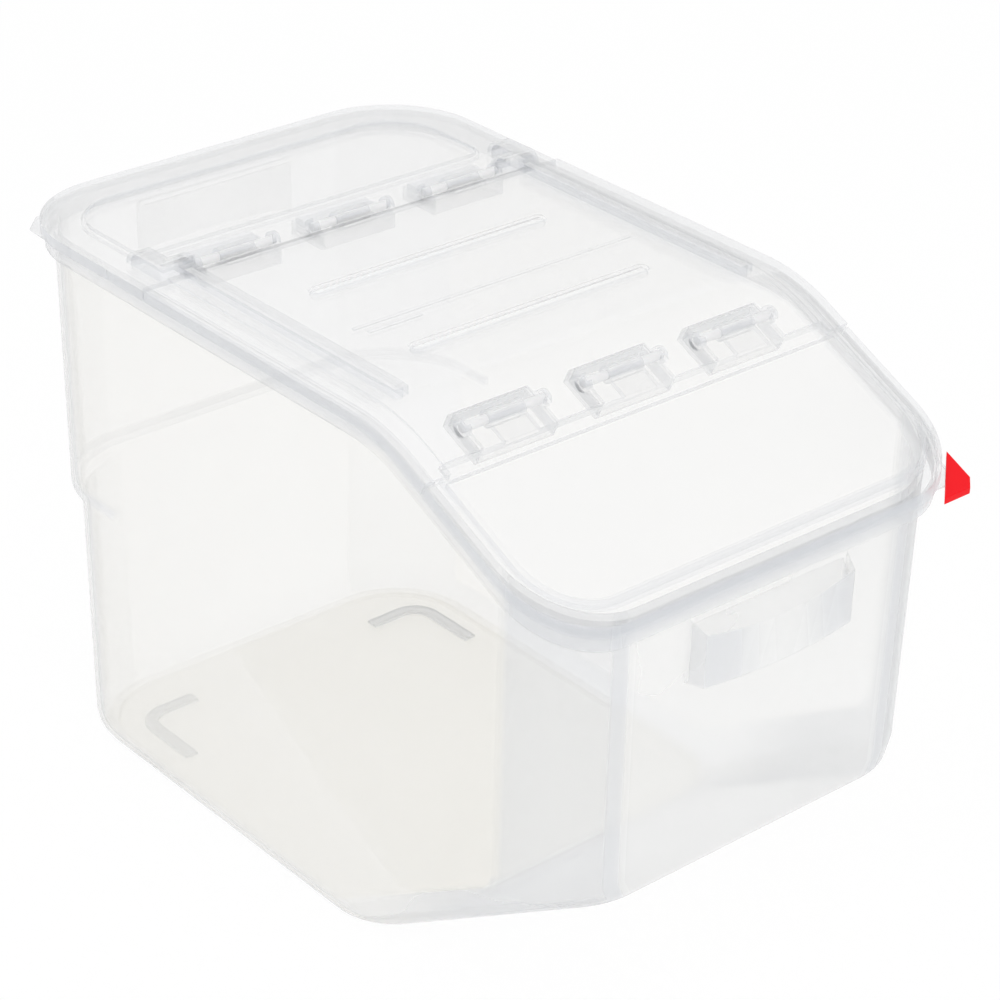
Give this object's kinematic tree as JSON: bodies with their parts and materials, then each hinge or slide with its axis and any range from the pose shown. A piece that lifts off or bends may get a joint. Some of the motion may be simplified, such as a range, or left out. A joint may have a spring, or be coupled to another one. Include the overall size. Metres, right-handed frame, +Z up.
{
  "type": "ingredient bin with hinged lid",
  "caption": "Tall open-topped storage bin for dry goods with a sloped scooping end, a lid in hinged sections, a front flap, moulded hand grips and a colour clip at one corner.",
  "frame": {"origin": "on the floor, under the middle of the rim", "axes": "+Z up, -Y towards the low scooping end, +X to the right seen from that end"},
  "size_m": [0.4, 0.674, 0.4575],
  "materials": {
    "milky_plastic": "satin",
    "lid_plastic": "satin",
    "pin_plastic": "satin",
    "red_plastic": "gloss"
  },
  "bodies": {
    "bin": {"tub": "milky_plastic", "colour_clip": "red_plastic"},
    "lid": {"rear_lid": "lid_plastic", "rear_pin_left": "pin_plastic", "rear_pin_middle": "pin_plastic", "rear_pin_right": "pin_plastic"},
    "middle": {"middle_lid": "lid_plastic", "front_pin_left": "pin_plastic", "front_pin_middle": "pin_plastic", "front_pin_right": "pin_plastic"},
    "flap": {"front_flap": "lid_plastic"}
  },
  "joints": [
    {"name": "lid_lift", "type": "slide", "parent": "bin", "child": "lid", "axis": [0, 0, 1], "range_m": [0, 0.1]},
    {"name": "middle_hinge", "type": "hinge", "parent": "lid", "child": "middle", "pos_m": [0, 0.146, 0.447], "axis": [-1, 0, 0], "range_deg": [0, 110]},
    {"name": "flap_hinge", "type": "hinge", "parent": "middle", "child": "flap", "pos_m": [0, -0.16185, 0.43738], "axis": [-1, 0, 0], "range_deg": [0, 160]}
  ]
}
